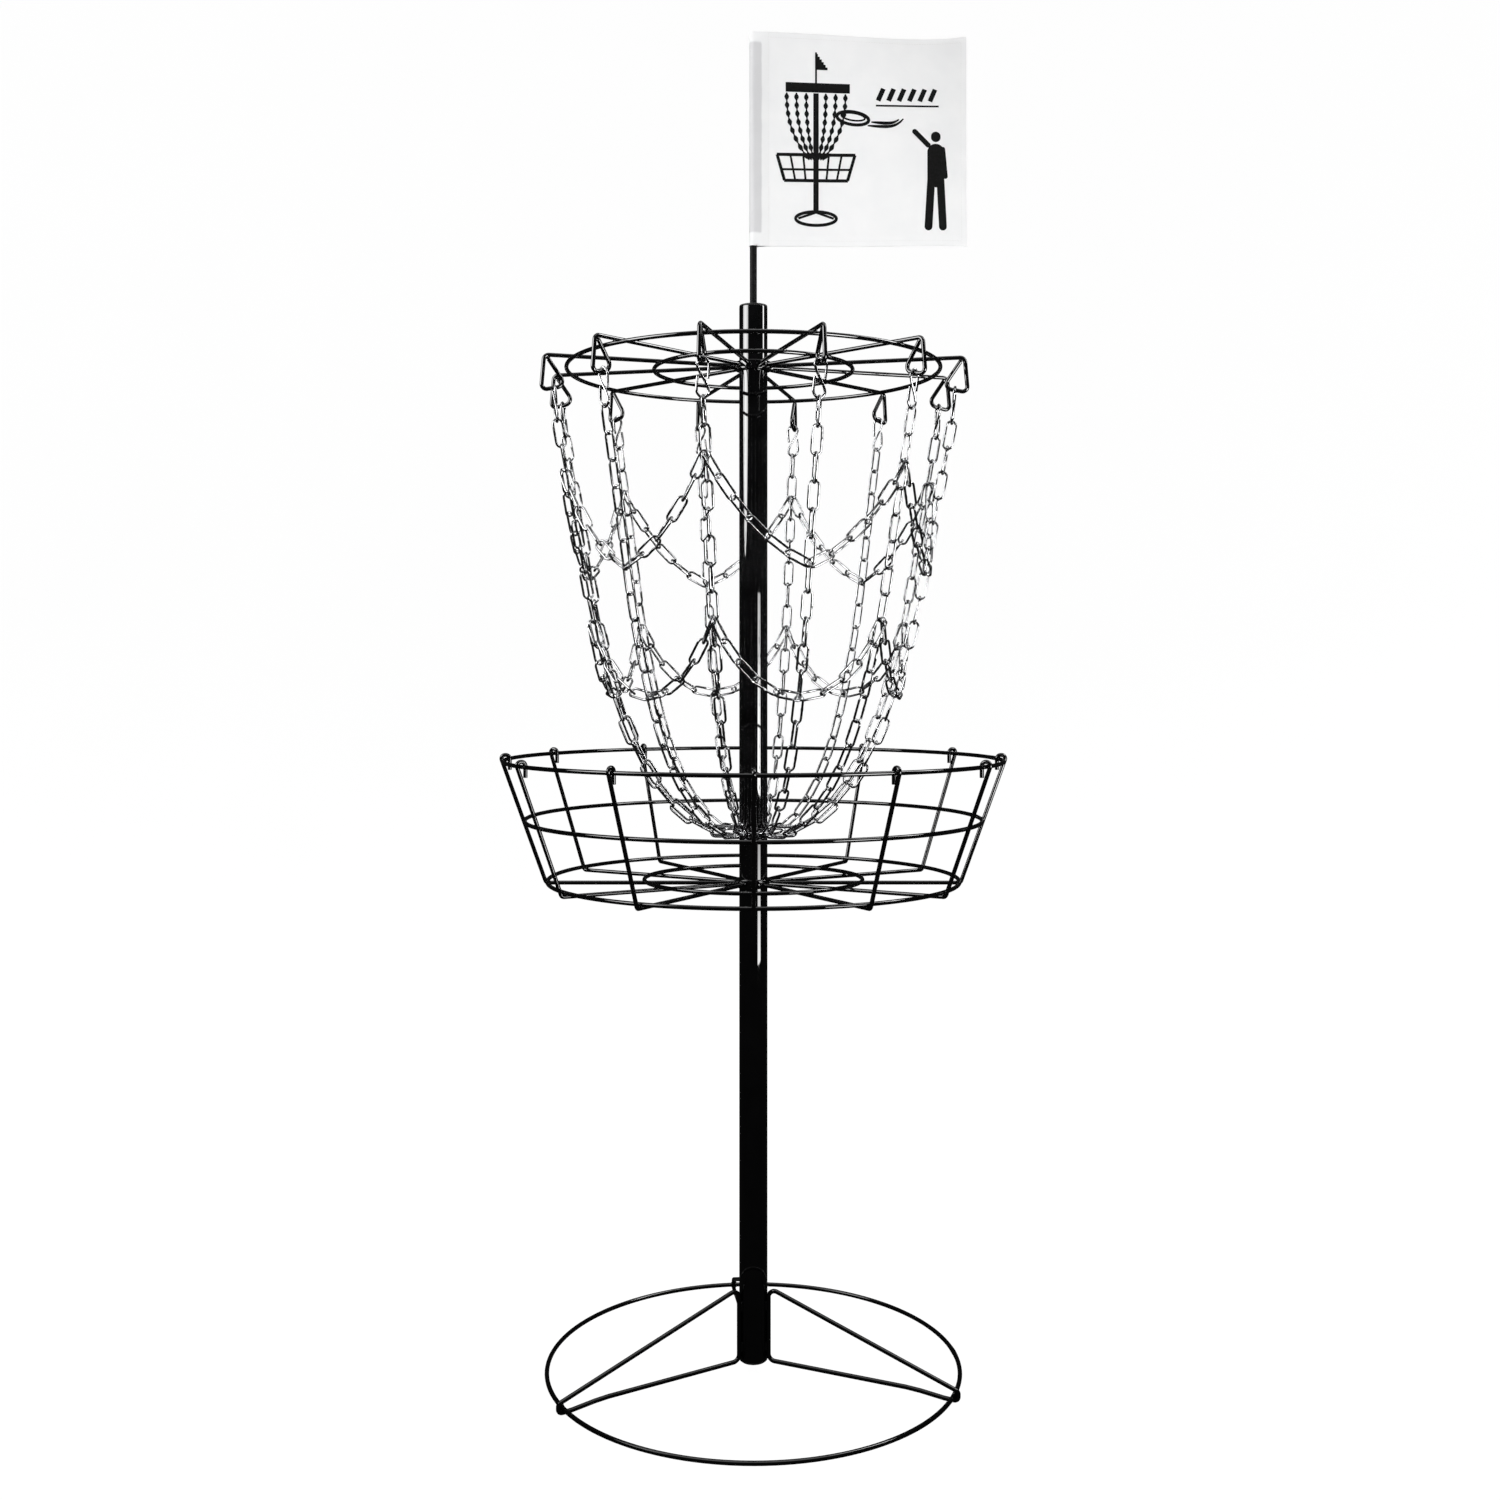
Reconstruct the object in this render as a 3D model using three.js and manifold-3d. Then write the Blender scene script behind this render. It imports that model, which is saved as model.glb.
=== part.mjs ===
// Portable disc golf basket: wire base, two-section pole, basket, chain holder, chains and flag.
// Millimetres, +Z up. The origin is on the ground under the pole's axis.
import * as THREE from "three";
import { mergeVertices } from "three/addons/utils/BufferGeometryUtils.js";
import Module from "manifold-3d";

const manifold = await Module();
manifold.setup();

// ---------- driving dimensions ----------

const GAP = 0.3; // left between pieces that touch or are welded on the real object
const SPOKES = 12; // basket ribs, holder arms and chain strands
const HOLDER_TURN = 17; // azimuth of the first holder arm, degrees; the ribs start at 0

const WIRE = 2.75; // radius of the wire of the basket and the holder
const BASE_WIRE = 3.0; // radius of the heavier wire of the base
const CHAIN_CORE = 2.7; // radius of a solid rod as heavy as the link chain

const POLE_RADIUS = 19;
const POLE_WALL = 1.5;
const POLE_BOTTOM = 15.4;
const POLE_SPLIT = 714.4; // where the upper section stands on the lower one
const POLE_TOP = 1430;
const SPIGOT_LENGTH = 60; // necked-down end of the upper section, inside the lower one

const CAP_THICKNESS = 3;
const CAP_PLUG_DEPTH = 25;
const SOCKET_DEPTH = 21; // blind hole for the flag rod
const FOOT_PLUG_DEPTH = 14;

const BASE_RING_RADIUS = 276;
const LEG_AZIMUTHS = [96, 209, 339];
const LEG_BOTTOM = 15.5; // heights of a leg's two bends beside the pole
const LEG_TOP = 113;
const LEG_DIP = { from: 222, to: 267, z: 9.3 }; // where the lower run dips to pass under the ring
const LEG_BENDS = { pole: 9, ring: 5, dip: 60 };

const RIM = { radius: 333.5, z: 821 };
const MID = { radius: 305.3, z: 742 };
const FLOOR_OUTER = { radius: 275.5, z: 660.6 };
const FLOOR_INNER = { radius: 146.6, z: 660.6 };
const RIB_BEND = 3.5; // where a rib turns up round the outer floor ring
const RIM_HOOK_TAIL = 13; // how far a rib's hooked end hangs below the rim's centre

const HOLDER_OUTER = { radius: 250.7, z: 1345 };
const HOLDER_INNER = { radius: 133.7, z: 1345 };
const ARM_REACH = 283.6;
const ARM_BEND = 7; // where the arm turns down into its eye
const EYE_HEIGHT = 46; // the three-cornered eye that a chain hangs from, at an arm's end
const EYE_WIDTH = 33;
const EYE_LEAN = 4; // how far its foot stands outside its top
const EYE_RISE = 7; // from its outer lower corner up to its inner one
const EYE_BENDS = { outer: 6, inner: 8 };

const HUB_RADIUS = 24;
const HUB_HEIGHT = 12;

const HOOP = { radius: 26, z: 724, wire: 2 };
const LINK_PITCH = 33.3; // from one link of a strand to the next
const SWAG_PITCH = 31.2; // the swags' links lie a little closer
const S_HOOK = 40; // length that the open hook adds above the top link
const STRAND_ROUTE = [
  [30, 724],
  [60, 726],
  [106, 757],
  [148, 810],
  [179, 875],
  [201, 942],
  [219, 1010],
  [242, 1132],
  [274, 1305],
]; // radius and height of the middle line, from the hoop to the eye of the arm
const UPPER_SWAG = { high: 2, low: 6, links: 6 }; // strand joints, counted down, and links between
const LOWER_SWAG = { high: 8, low: 11, links: 5 };
const SWAG_CLEARANCE = 7.6; // the swags pass this far outside the strands' centre lines

const FLAG = { left: -6, right: 288, bottom: 1512.6, top: 1802, thickness: 2 };
const FLAG_ROD_RADIUS = 4.75;
const FLAG_ROD_TOP = 1787;
const SLEEVE_CLEARANCE = 0.8; // round the rod
const SLEEVE_WALL = 1.2;

// ---------- resolution ----------

const WIRE_SIDES = 6;
const TURNED_SIDES = 32;
const RING_STEPS = 36;
const BEND_STEP = 40; // degrees of a bend taken by one straight facet
const STRAND_STEPS = 12;
const SWAG_STEPS = 4; // from one strand to the next
const SLEEVE_SEGMENTS = 12;

// A six-sided section with the area of the round wire: its corners stand out, its flats lie in.
const CORNER = Math.sqrt((2 * Math.PI) / (WIRE_SIDES * Math.sin((2 * Math.PI) / WIRE_SIDES)));
const FLAT = CORNER * Math.cos(Math.PI / WIRE_SIDES);

const BLACK_STEEL = { color: 0x0c0c0d, roughness: 0.28, metalness: 0.6 };
const ZINC = { color: 0xc9cbcd, roughness: 0.25, metalness: 1.0 };
const BLACK_PLASTIC = { color: 0x101010, roughness: 0.5, metalness: 0.0 };
const WHITE_CLOTH = { color: 0xf1f1f1, roughness: 0.9, metalness: 0.0 };

// ---------- curves ----------

const radians = (degrees) => (degrees * Math.PI) / 180;
const radial = (r, z) => new THREE.Vector3(r, 0, z);

// A path that goes straight from each of its points to the next.
class WirePath extends THREE.Curve {
  constructor(points, closed = false) {
    super();
    this.points = points;
    this.closed = closed;
    this.steps = closed ? points.length : points.length - 1;
  }

  vertex(i) {
    const n = this.points.length;
    return this.points[this.closed ? ((i % n) + n) % n : Math.min(Math.max(i, 0), n - 1)];
  }

  getPointAt(u, target = new THREE.Vector3()) {
    const at = u * this.steps;
    const i = Math.floor(at + 1e-9);
    return target.copy(this.vertex(i)).lerp(this.vertex(i + 1), Math.max(at - i, 0));
  }

  getPoint(u, target) {
    return this.getPointAt(u, target);
  }

  getTangentAt(u, target = new THREE.Vector3()) {
    const i = Math.round(u * this.steps);
    const here = this.vertex(i);
    const before = here.clone().sub(this.vertex(i - 1)).normalize();
    const after = this.vertex(i + 1).clone().sub(here).normalize();
    return target.copy(before).add(after).normalize();
  }
}

// Straight runs between corners [r, z, bend radius], in the plane of the radius and the axis.
function bentWire(corners, closed = false) {
  const n = corners.length;
  const points = [];
  corners.forEach(([r, z, bend = 0], i) => {
    const at = new THREE.Vector2(r, z);
    const inner = closed || (i > 0 && i < n - 1);
    if (!inner || !bend) {
      points.push(radial(r, z));
      return;
    }
    const [pr, pz] = corners[(i - 1 + n) % n];
    const [nr, nz] = corners[(i + 1) % n];
    const back = new THREE.Vector2(pr, pz).sub(at).normalize();
    const on = new THREE.Vector2(nr, nz).sub(at).normalize();
    const half = Math.acos(THREE.MathUtils.clamp(back.dot(on), -1, 1)) / 2;
    const centre = at.clone().addScaledVector(back.clone().add(on).normalize(), bend / Math.sin(half));
    const from = at.clone().addScaledVector(back, bend / Math.tan(half)).sub(centre);
    const to = at.clone().addScaledVector(on, bend / Math.tan(half)).sub(centre);
    const sweep = Math.atan2(from.cross(to), from.dot(to));
    const steps = Math.max(1, Math.ceil(Math.abs(sweep) / radians(BEND_STEP)));
    for (let k = 0; k <= steps; k++) {
      const p = from.clone().rotateAround(new THREE.Vector2(), (sweep * k) / steps).add(centre);
      points.push(radial(p.x, p.y));
    }
  });
  return new WirePath(points, closed);
}

// A chain of the given length hung from a to b: points at equal lengths along its catenary.
function hangingChain(a, b, length, steps) {
  const across = new THREE.Vector3(b.x - a.x, b.y - a.y, 0);
  const span = across.length();
  const rise = b.z - a.z;
  const slack = Math.sqrt(length * length - rise * rise);
  let low = 1;
  let high = 1e5;
  for (let i = 0; i < 100; i++) {
    const mid = Math.sqrt(low * high);
    if (2 * mid * Math.sinh(span / (2 * mid)) > slack) low = mid;
    else high = mid;
  }
  const c = high;
  const lowest = span / 2 - c * Math.atanh(rise / length);
  const points = [];
  for (let i = 0; i <= steps; i++) {
    const x = lowest + c * Math.asinh((length * i) / steps / c - Math.sinh(lowest / c));
    const z = c * (Math.cosh((x - lowest) / c) - Math.cosh(lowest / c));
    points.push(a.clone().addScaledVector(across, x / span).add(new THREE.Vector3(0, 0, z)));
  }
  return points;
}

// ---------- solids ----------

// An even polygon with the area of the circle of that radius, with a corner on its x axis.
function wireSection(radius) {
  const corners = [];
  for (let i = 0; i < WIRE_SIDES; i++) {
    const angle = (2 * Math.PI * i) / WIRE_SIDES;
    corners.push(new THREE.Vector2(Math.cos(angle), Math.sin(angle)).multiplyScalar(radius * CORNER));
  }
  return new THREE.Shape(corners);
}

function wire(path, radius) {
  if (path.closed) {
    return new THREE.TubeGeometry(path, path.steps, radius * CORNER, WIRE_SIDES, true);
  }
  return new THREE.ExtrudeGeometry(wireSection(radius), { steps: path.steps, extrudePath: path });
}

function ring({ radius, z }, wireRadius, turn = 0) {
  const torus = new THREE.TorusGeometry(radius, wireRadius * CORNER, WIRE_SIDES, RING_STEPS);
  return torus.rotateZ(radians(turn)).translate(0, 0, z);
}

// A turned piece from its half-section of [r, z] points, taken anticlockwise. The section of a
// solid piece starts and ends on the axis; that of a hollow one is a closed outline.
function turned(profile) {
  const solid = profile[0][0] === 0;
  const outline = solid ? profile : [...profile, profile[0]];
  const points = outline.map(([r, z]) => new THREE.Vector2(r, z));
  return new THREE.LatheGeometry(points, TURNED_SIDES).rotateX(Math.PI / 2);
}

function rod(radius, bottom, top) {
  const height = top - bottom;
  const made = new THREE.CylinderGeometry(radius, radius, height, TURNED_SIDES / 2);
  return made.rotateX(Math.PI / 2).translate(0, 0, (bottom + top) / 2);
}

function solidOf(geometry) {
  const bare = geometry.clone();
  bare.deleteAttribute("normal");
  bare.deleteAttribute("uv");
  const merged = mergeVertices(bare, 1e-4);
  const mesh = {
    numProp: 3,
    vertProperties: merged.attributes.position.array,
    triVerts: new Uint32Array(merged.index.array),
  };
  return new manifold.Manifold(new manifold.Mesh(mesh));
}

function geometryOf(solid) {
  const { vertProperties, triVerts } = solid.getMesh();
  const geometry = new THREE.BufferGeometry();
  geometry.setAttribute("position", new THREE.BufferAttribute(vertProperties, 3));
  geometry.setIndex(new THREE.BufferAttribute(triVerts, 1));
  geometry.computeVertexNormals();
  return geometry;
}

// ---------- the assembly ----------

const basket = new THREE.Group();

function add(name, geometry, finish, azimuth = 0) {
  const mesh = new THREE.Mesh(geometry, new THREE.MeshStandardMaterial(finish));
  mesh.name = name;
  mesh.rotation.z = radians(azimuth);
  basket.add(mesh);
}

const numbered = (name, i) => `${name}_${String(i + 1).padStart(2, "0")}`;

function addPole() {
  const bore = POLE_RADIUS - POLE_WALL;
  const lower = [
    [POLE_RADIUS, POLE_BOTTOM],
    [POLE_RADIUS, POLE_SPLIT],
    [bore, POLE_SPLIT],
    [bore, POLE_BOTTOM],
  ];
  add("pole_lower", turned(lower), BLACK_STEEL);

  const shoulder = POLE_SPLIT + GAP;
  const spigot = bore - GAP;
  const spigotBottom = shoulder - SPIGOT_LENGTH;
  const upper = [
    [spigot, spigotBottom],
    [spigot, shoulder],
    [POLE_RADIUS, shoulder],
    [POLE_RADIUS, POLE_TOP],
    [bore, POLE_TOP],
    [bore, shoulder + 2 * POLE_WALL],
    [spigot - POLE_WALL, shoulder],
    [spigot - POLE_WALL, spigotBottom],
  ];
  add("pole_upper", turned(upper), BLACK_STEEL);

  const flange = POLE_TOP + GAP;
  const plugRadius = bore - GAP;
  const socket = FLAG_ROD_RADIUS + GAP;
  const cap = [
    [0, flange - CAP_PLUG_DEPTH],
    [plugRadius, flange - CAP_PLUG_DEPTH],
    [plugRadius, flange],
    [POLE_RADIUS, flange],
    [POLE_RADIUS, flange + CAP_THICKNESS],
    [socket, flange + CAP_THICKNESS],
    [socket, flange - SOCKET_DEPTH],
    [0, flange - SOCKET_DEPTH],
  ];
  add("pole_top_cap", turned(cap), BLACK_PLASTIC);

  const footFlange = POLE_BOTTOM - GAP;
  const foot = [
    [0, footFlange - CAP_THICKNESS],
    [POLE_RADIUS - POLE_WALL, footFlange - CAP_THICKNESS],
    [POLE_RADIUS, footFlange - POLE_WALL],
    [POLE_RADIUS, footFlange],
    [plugRadius, footFlange],
    [plugRadius, footFlange + FOOT_PLUG_DEPTH],
    [0, footFlange + FOOT_PLUG_DEPTH],
  ];
  add("pole_foot_plug", turned(foot), BLACK_PLASTIC);
}

function addBase() {
  const wireFlat = BASE_WIRE * FLAT;
  const ringToLeg = 2 * wireFlat + GAP;
  const lowRun = wireFlat;
  const ringZ = lowRun + ringToLeg;
  const highRun = ringZ + ringToLeg;
  const outside = BASE_RING_RADIUS + BASE_WIRE * CORNER + wireFlat + GAP;
  const beside = POLE_RADIUS + wireFlat + GAP;
  add("base_ring", ring({ radius: BASE_RING_RADIUS, z: ringZ }, BASE_WIRE), BLACK_STEEL);

  // A closed loop: up beside the pole, down to the ring, round its outside and back underneath.
  const corners = [
    [beside, LEG_BOTTOM, LEG_BENDS.pole],
    [beside, LEG_TOP, LEG_BENDS.pole],
    [outside, highRun, LEG_BENDS.ring],
    [outside, lowRun, LEG_BENDS.ring],
    [LEG_DIP.to, lowRun, LEG_BENDS.dip],
    [LEG_DIP.from, LEG_DIP.z, LEG_BENDS.dip],
  ];
  LEG_AZIMUTHS.forEach((azimuth, i) => {
    add(`base_leg_${i + 1}`, wire(bentWire(corners, true), BASE_WIRE), BLACK_STEEL, azimuth);
  });
}

function hub(z) {
  const bore = POLE_RADIUS + GAP;
  return turned([
    [bore, z - HUB_HEIGHT / 2],
    [HUB_RADIUS, z - HUB_HEIGHT / 2],
    [HUB_RADIUS, z + HUB_HEIGHT / 2],
    [bore, z + HUB_HEIGHT / 2],
  ]);
}

function addBasket() {
  const under = FLOOR_OUTER.z - 2 * WIRE * FLAT - GAP;
  add("basket_hub", hub(under), BLACK_STEEL);
  add("basket_rim_ring", ring(RIM, WIRE), BLACK_STEEL);
  add("basket_mid_ring", ring(MID, WIRE), BLACK_STEEL);
  add("basket_floor_ring_outer", ring(FLOOR_OUTER, WIRE), BLACK_STEEL);
  add("basket_floor_ring_inner", ring(FLOOR_INNER, WIRE), BLACK_STEEL);

  // Each rib runs under the floor rings, rises outside the others and hooks over the rim.
  const slant = (RIM.radius - FLOOR_OUTER.radius) / (RIM.z - FLOOR_OUTER.z);
  const clear = WIRE * (CORNER + FLAT) + 2 * GAP; // the facets of a bend cut its corner
  const outside = (z) => {
    const wall = FLOOR_OUTER.radius + slant * (z - FLOOR_OUTER.z);
    return wall + clear * Math.hypot(1, slant);
  };
  const hookTop = RIM.z + clear;
  const hookInside = RIM.radius - clear;
  const corners = [
    [hookInside, RIM.z - RIM_HOOK_TAIL],
    [hookInside, hookTop, clear],
    [outside(hookTop), hookTop, clear],
    [outside(under), under, RIB_BEND],
    [HUB_RADIUS + GAP, under],
  ];
  for (let i = 0; i < SPOKES; i++) {
    const azimuth = (360 / SPOKES) * i;
    add(numbered("basket_rib", i), wire(bentWire(corners), WIRE), BLACK_STEEL, azimuth);
  }
}

function addHolder() {
  const over = HOLDER_OUTER.z + 2 * WIRE * FLAT + GAP;
  add("holder_hub", hub(over), BLACK_STEEL);
  add("holder_ring_outer", ring(HOLDER_OUTER, WIRE, HOLDER_TURN), BLACK_STEEL);
  add("holder_ring_inner", ring(HOLDER_INNER, WIRE, HOLDER_TURN), BLACK_STEEL);

  // Each arm lies on the holder's rings. Its end is bent down and back into an eye, and stops
  // inside its own first bend.
  const eyeBottom = over - EYE_HEIGHT;
  const eyeOutside = ARM_REACH + EYE_LEAN;
  const corners = [
    [ARM_REACH - ARM_BEND, over - ARM_BEND],
    [eyeOutside - EYE_WIDTH, eyeBottom + EYE_RISE, EYE_BENDS.inner],
    [eyeOutside, eyeBottom, EYE_BENDS.outer],
    [ARM_REACH, over, ARM_BEND],
    [HUB_RADIUS + GAP, over],
  ];
  for (let i = 0; i < SPOKES; i++) {
    const azimuth = HOLDER_TURN + (360 / SPOKES) * i;
    add(numbered("holder_arm", i), wire(bentWire(corners), WIRE), BLACK_STEEL, azimuth);
  }
}

// ---------- chains ----------

const STRAND = new THREE.CatmullRomCurve3(STRAND_ROUTE.map(([r, z]) => radial(r, z)));
const STRAND_LENGTH = STRAND.getLength();
const STRAND_ENDS = 6; // left clear for the ring or the eye that holds the strand's end

// The place where two links of a strand meet, counted down from the open hook.
function strandJoint(number, azimuth, outward = 0) {
  const joint = STRAND.getPointAt(1 - (S_HOOK + number * LINK_PITCH) / STRAND_LENGTH);
  joint.x += outward;
  return joint.applyAxisAngle(new THREE.Vector3(0, 0, 1), radians(azimuth));
}

function addStrands() {
  const points = [];
  for (let i = 0; i <= STRAND_STEPS; i++) {
    const along = STRAND_ENDS + ((STRAND_LENGTH - 2 * STRAND_ENDS) * i) / STRAND_STEPS;
    points.push(STRAND.getPointAt(along / STRAND_LENGTH));
  }
  const path = new WirePath(points);
  for (let i = 0; i < SPOKES; i++) {
    const azimuth = HOLDER_TURN + (360 / SPOKES) * i;
    add(numbered("chain_strand", i), wire(path, CHAIN_CORE), ZINC, azimuth);
  }
}

// A festoon round the net: high on every other strand, low on the ones between.
function swag({ high, low, links }) {
  const points = [];
  for (let i = 0; i < SPOKES; i++) {
    const from = HOLDER_TURN + (360 / SPOKES) * i;
    const to = from + 360 / SPOKES;
    const [first, second] = i % 2 ? [low, high] : [high, low];
    const a = strandJoint(first, from, SWAG_CLEARANCE);
    const b = strandJoint(second, to, SWAG_CLEARANCE);
    points.push(...hangingChain(a, b, links * SWAG_PITCH, SWAG_STEPS).slice(0, -1));
  }
  return new WirePath(points, true);
}

function addChains() {
  add("chain_hoop", ring(HOOP, HOOP.wire), ZINC);
  addStrands();
  add("upper_swag", wire(swag(UPPER_SWAG), CHAIN_CORE), ZINC);
  add("lower_swag", wire(swag(LOWER_SWAG), CHAIN_CORE), ZINC);
}

// ---------- flag ----------

function addFlag() {
  const socketFloor = POLE_TOP + GAP - SOCKET_DEPTH;
  add("flag_rod", rod(FLAG_ROD_RADIUS, socketFloor + GAP, FLAG_ROD_TOP), BLACK_STEEL);

  const inner = FLAG_ROD_RADIUS + SLEEVE_CLEARANCE;
  const outer = inner + SLEEVE_WALL;
  const half = FLAG.thickness / 2;
  const joined = Math.asin(half / outer);
  const outline = new THREE.Shape();
  outline.moveTo(FLAG.right, -half);
  outline.lineTo(FLAG.right, half);
  outline.absarc(0, 0, outer, joined, 2 * Math.PI - joined, false);
  outline.closePath();
  const sleeve = outline.clone();
  sleeve.holes.push(new THREE.Path().absarc(0, 0, inner, 0, 2 * Math.PI, true));

  const closedFrom = FLAG_ROD_TOP + FLAG.thickness;
  const extruded = (shape, bottom, top) => {
    const options = { depth: top - bottom, bevelEnabled: false, curveSegments: SLEEVE_SEGMENTS };
    return new THREE.ExtrudeGeometry(shape, options).translate(0, 0, bottom);
  };
  const body = solidOf(extruded(sleeve, FLAG.bottom, closedFrom));
  const hem = solidOf(extruded(outline, closedFrom, FLAG.top));
  add("flag", geometryOf(body.add(hem)), WHITE_CLOTH);
}

addPole();
addBase();
addBasket();
addHolder();
addChains();
addFlag();

export default basket;
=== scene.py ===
"""Disc golf basket: round wires, hubs, poles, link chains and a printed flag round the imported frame.

Lengths are in millimetres in the part's frame, and Shell.make turns them into metres.
"""

import math
import random

import bpy
from mathutils import Matrix, Vector


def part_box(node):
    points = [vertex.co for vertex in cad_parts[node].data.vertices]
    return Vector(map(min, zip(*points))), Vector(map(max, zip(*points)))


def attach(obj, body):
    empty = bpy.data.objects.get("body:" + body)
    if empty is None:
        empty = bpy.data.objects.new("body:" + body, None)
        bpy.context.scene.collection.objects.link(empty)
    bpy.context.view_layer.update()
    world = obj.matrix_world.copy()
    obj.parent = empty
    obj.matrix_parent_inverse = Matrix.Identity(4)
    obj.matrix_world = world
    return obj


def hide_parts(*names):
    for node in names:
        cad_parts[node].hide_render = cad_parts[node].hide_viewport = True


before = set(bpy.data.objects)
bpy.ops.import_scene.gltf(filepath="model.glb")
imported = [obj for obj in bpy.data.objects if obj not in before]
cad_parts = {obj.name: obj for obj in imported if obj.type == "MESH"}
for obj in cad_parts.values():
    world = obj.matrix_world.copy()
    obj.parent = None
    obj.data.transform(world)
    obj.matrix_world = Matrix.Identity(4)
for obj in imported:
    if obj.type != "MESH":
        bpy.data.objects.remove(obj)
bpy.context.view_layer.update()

MM = 0.001
SPOKES = 12  # ribs, arms and strands
SPOKE_ANGLE = 360 / SPOKES
HOLDER_TURN = 17  # azimuth of the first arm and strand, degrees

WIRE = 2.75  # radius of the basket's and the holder's wire
BASE_WIRE = 3.0
WIRE_END = {"length": 0.12, "radius": 0.8}  # the blunted edge of a cut end, as shares of the radius

POLE_RADIUS = 19.0
POLE_WALL = 1.5
POLE_SLACK = 0.2  # round whatever sits inside the pole or its cap
HUB_RADIUS = 24.0
HUB_HEIGHT = 12.0
SPOKE_START = HUB_RADIUS - 0.5  # the ribs' and the arms' inner ends, sunk into their hubs
HUB_WELD_RADIUS = HUB_RADIUS + 1

WELD_SINK = 0.15  # how far two welded wires sink into each other
WELD_LUMPS = 0.08  # unevenness of a bead of weld, as a share of its radius
# Beads of weld: half the length, and the radius.
POLE_WELD = (7, 1.9)  # a leg on the pole
RING_WELD = (4.2, 2.6)  # a leg on the base ring
HUB_WELD = (3.4, 3.3)
EYE_WELD = (3.0, 2.2)  # the end of an arm's wire, under the arm
CROSS_WELD = (3.6, 2.1)  # a ring across a rib or an arm
BUTT_WELD = {"at": 3, "reach": 1.5, "swelling": 0.12}  # of a ring, in steps round it

LEG_AZIMUTHS = (96, 209, 339)
LEG_BOTTOM = 15.5  # heights of a leg's two bends beside the pole
LEG_TOP = 113.0
LEG_BEND = 9.0
LEG_HAIRPIN_BEND = 5.2
LEG_DIP = {"from": 222.0, "to": 267.0, "z": 9.3}  # where the lower run dips under the ring
LEG_DIP_BENDS = {"from": 180.0, "to": 60.0}
LEG_WELD_LEVELS = (34, 88)
LEG_WELD_OFFSET = 0.6  # of a leg's welds, outward from the pole's side and from the ring's middle line
LEG_WELD_TURN = 9  # from the leg's azimuth to the weld on either side of it

RIM_HOOK_RISE = 6.2  # of a rib's hook over the rim, from the middle of one wire to the other's
RIM_HOOK_TAIL = 13.5
RIB_BEND = 4.6
ARM_REACH = 283.6
ARM_BEND = 7.0
EYE_HEIGHT = 46.0  # the three-cornered eye at an arm's end
EYE_WIDTH = 33.0
EYE_LEAN = 4.0  # how far its foot stands outside its top
EYE_RISE = 7.0  # from its outer lower corner up to its inner one
EYE_BENDS = {"inner": 8.0, "outer": 6.0}
EYE_END = (5.8, 5.6)  # where its wire ends: in from the arm's bend, and below the arm
EYE_WELD_PLACE = (5.0, 3.8)

# The middle line of a chain strand: radius and height, from the hoop's inner side to the arm's eye.
STRAND_ROUTE = (
    (24.5, 723.5),
    (60, 726),
    (106, 757),
    (148, 810),
    (179, 875),
    (201, 942),
    (219, 1010),
    (242, 1132),
    (274, 1305),
)
STRAND_LINKS = 19
S_HOOK_REACH = 40.0  # from the top of the route to where the first link hangs
UPPER_SWAG = {"high": 2, "low": 6, "links": 6}
LOWER_SWAG = {"high": 8, "low": 11, "links": 5}
SWAG_TAKE_UP = 12.0  # a swag's end links reach this much deeper into the strands
SWAG_OFFSET = 3.4  # the swags are hooked in this far outside the strands' middle lines

LINK_WIRE = 1.55
LINK_WIDTH = 12.4  # between the middle lines of a link's two sides
LINK_WELD = ((3.0, 1.0), (1.4, 1.1), (0, 1.17), (-1.4, 1.1), (-3.0, 1.0))  # height, share of radius
LINK_WOBBLE = 7.0  # most degrees that a link lies off its roll
HOOK_WIRE = 1.65
HOOP_WIRE = 2.0
# The open hook's middle line from one end to the other: sideways, and as a share of half its height.
HOOK_ROUTE = (
    (6.4, -0.08),
    (7.6, 0.36),
    (7.3, 0.74),
    (0.4, 1.0),
    (-6.6, 0.74),
    (-4.6, 0.36),
    (4.6, -0.36),
    (6.6, -0.74),
    (-0.4, -1.0),
    (-7.3, -0.74),
    (-7.6, -0.36),
    (-6.4, 0.08),
)

FLAG_RIGHT = 288.0
FLAG_BOTTOM = 1512.6
FLAG_TOP = 1802.0
FLAG_HEIGHT = FLAG_TOP - FLAG_BOTTOM
CLOTH = 0.5
HEM = 10.0
HEM_STEP = 0.5  # half the width over which a hem's double cloth ends
HEM_THICKNESS = 1.45  # as a share of the cloth's
ROD_RADIUS = 4.75
SEAM_X = 18.0  # where the sleeve for the rod is sewn shut
WAVE = 5.5  # how far the cloth's waves stand out at its free edge
WAVE_LENGTH = 46.0  # of one radian of a wave
CURL = 7.0  # of the free edge, towards the back
SAG = 8.0  # of the upper hem between the rod and the free edge
CORNER_DROP = 4.5  # of the free upper corner
STITCH_PITCH = 3.4
STITCH_INSET = 7.5  # from the cloth's edges to the hems' stitching
STITCH_LIFT = 0.16
STITCH_SHAPE = ((0.15, 0.14), (0.5, 0.2), (0.85, 0.14))  # share of the pitch, and radius there
PRINT_SUNK = -0.06  # the print's back and front, from the cloth's front
PRINT_LIFT = 0.22
WEAVE_PITCH = 0.0009  # metres, as the finishes' nodes take it

draw = random.Random(7)


# ---------- paths ----------


def at(radius, z, azimuth=0.0):
    a = math.radians(azimuth)
    return Vector((radius * math.cos(a), radius * math.sin(a), z))


def turned_by(path, azimuth):
    spin = Matrix.Rotation(math.radians(azimuth), 3, "Z")
    return [spin @ p for p in path]


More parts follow.
